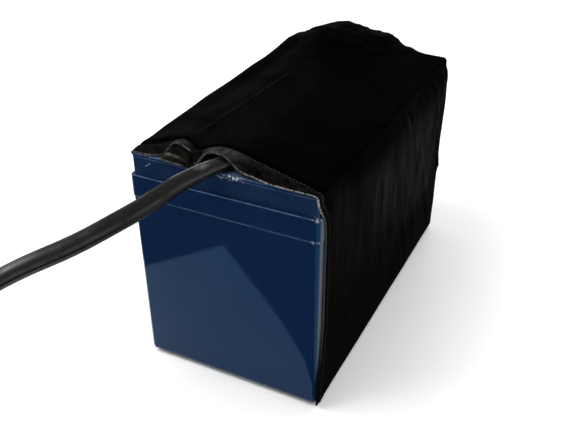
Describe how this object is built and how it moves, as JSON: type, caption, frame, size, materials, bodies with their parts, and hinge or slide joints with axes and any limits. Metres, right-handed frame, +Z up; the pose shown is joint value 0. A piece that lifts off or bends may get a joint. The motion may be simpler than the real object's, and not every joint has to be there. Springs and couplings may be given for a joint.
{
  "type": "battery pack",
  "caption": "Sealed lead-acid battery in a stepped-lid case, in an open-ended black cloth sleeve, with a flat twin output cable ending in a two-pole connector.",
  "frame": {"origin": "bottom centre of the sleeved battery's box, without the free cable", "axes": "+Z up, -Y out of the sleeve's open end, where the case shows and the cable leaves; +X to the right of someone who faces +Y"},
  "size_m": [0.305, 0.749, 0.2341],
  "materials": {
    "case_plastic": "gloss",
    "vent_rubber": "matte",
    "grey_lead": "satin",
    "brown_paste": "matte",
    "glass_mat": "matte",
    "terminal_brass": "satin",
    "plated_steel": "satin",
    "tinned_copper": "satin",
    "red_sleeve": "satin",
    "black_sleeve": "satin",
    "red_lead_jacket": "satin",
    "black_lead_jacket": "satin",
    "cable_jacket": "satin",
    "connector_shell": "satin",
    "silvered_contact": "satin",
    "spring_steel": "satin",
    "sleeve_cloth": "satin",
    "hem_tape": "matte",
    "thread": "matte"
  },
  "bodies": {
    "battery": {"container": "case_plastic", "case_lid": "case_plastic", "valve_cover": "case_plastic", "relief_valve_1": "vent_rubber", "relief_valve_2": "vent_rubber", "relief_valve_3": "vent_rubber", "relief_valve_4": "vent_rubber", "relief_valve_5": "vent_rubber", "relief_valve_6": "vent_rubber", "positive_plates_1": "brown_paste", "negative_plates_1": "grey_lead", "separators_1": "glass_mat", "positive_plates_2": "brown_paste", "negative_plates_2": "grey_lead", "separators_2": "glass_mat", "positive_plates_3": "brown_paste", "negative_plates_3": "grey_lead", "separators_3": "glass_mat", "positive_plates_4": "brown_paste", "negative_plates_4": "grey_lead", "separators_4": "glass_mat", "positive_plates_5": "brown_paste", "negative_plates_5": "grey_lead", "separators_5": "glass_mat", "positive_plates_6": "brown_paste", "negative_plates_6": "grey_lead", "separators_6": "glass_mat", "intercell_connector_1": "grey_lead", "intercell_connector_2": "grey_lead", "intercell_connector_3": "grey_lead", "intercell_connector_4": "grey_lead", "intercell_connector_5": "grey_lead", "positive_end_post": "grey_lead", "positive_terminal": "terminal_brass", "positive_lug": "tinned_copper", "negative_end_post": "grey_lead", "negative_terminal": "terminal_brass", "negative_lug": "tinned_copper", "positive_lug_sleeve": "red_sleeve", "negative_lug_sleeve": "black_sleeve", "terminal_seals": "vent_rubber", "terminal_bolts": "plated_steel", "flat_washers": "plated_steel", "spring_washers": "spring_steel", "positive_lead": "red_lead_jacket", "negative_lead": "black_lead_jacket", "split_boot": "black_sleeve", "lid_cable": "cable_jacket", "output_cable": "cable_jacket", "connector_boot": "vent_rubber", "connector_housing": "connector_shell", "connector_contacts": "silvered_contact", "contact_springs": "spring_steel"},
    "sleeve": {"sleeve_top": "sleeve_cloth", "sleeve_left": "sleeve_cloth", "sleeve_right": "sleeve_cloth", "sleeve_bottom": "sleeve_cloth", "sleeve_rear": "sleeve_cloth", "sleeve_rear_fold": "sleeve_cloth"}
  },
  "joints": [
    {"name": "sleeve_slide", "type": "slide", "parent": "battery", "child": "sleeve", "axis": [0, 1, 0], "range_m": [0, 0.34]}
  ]
}
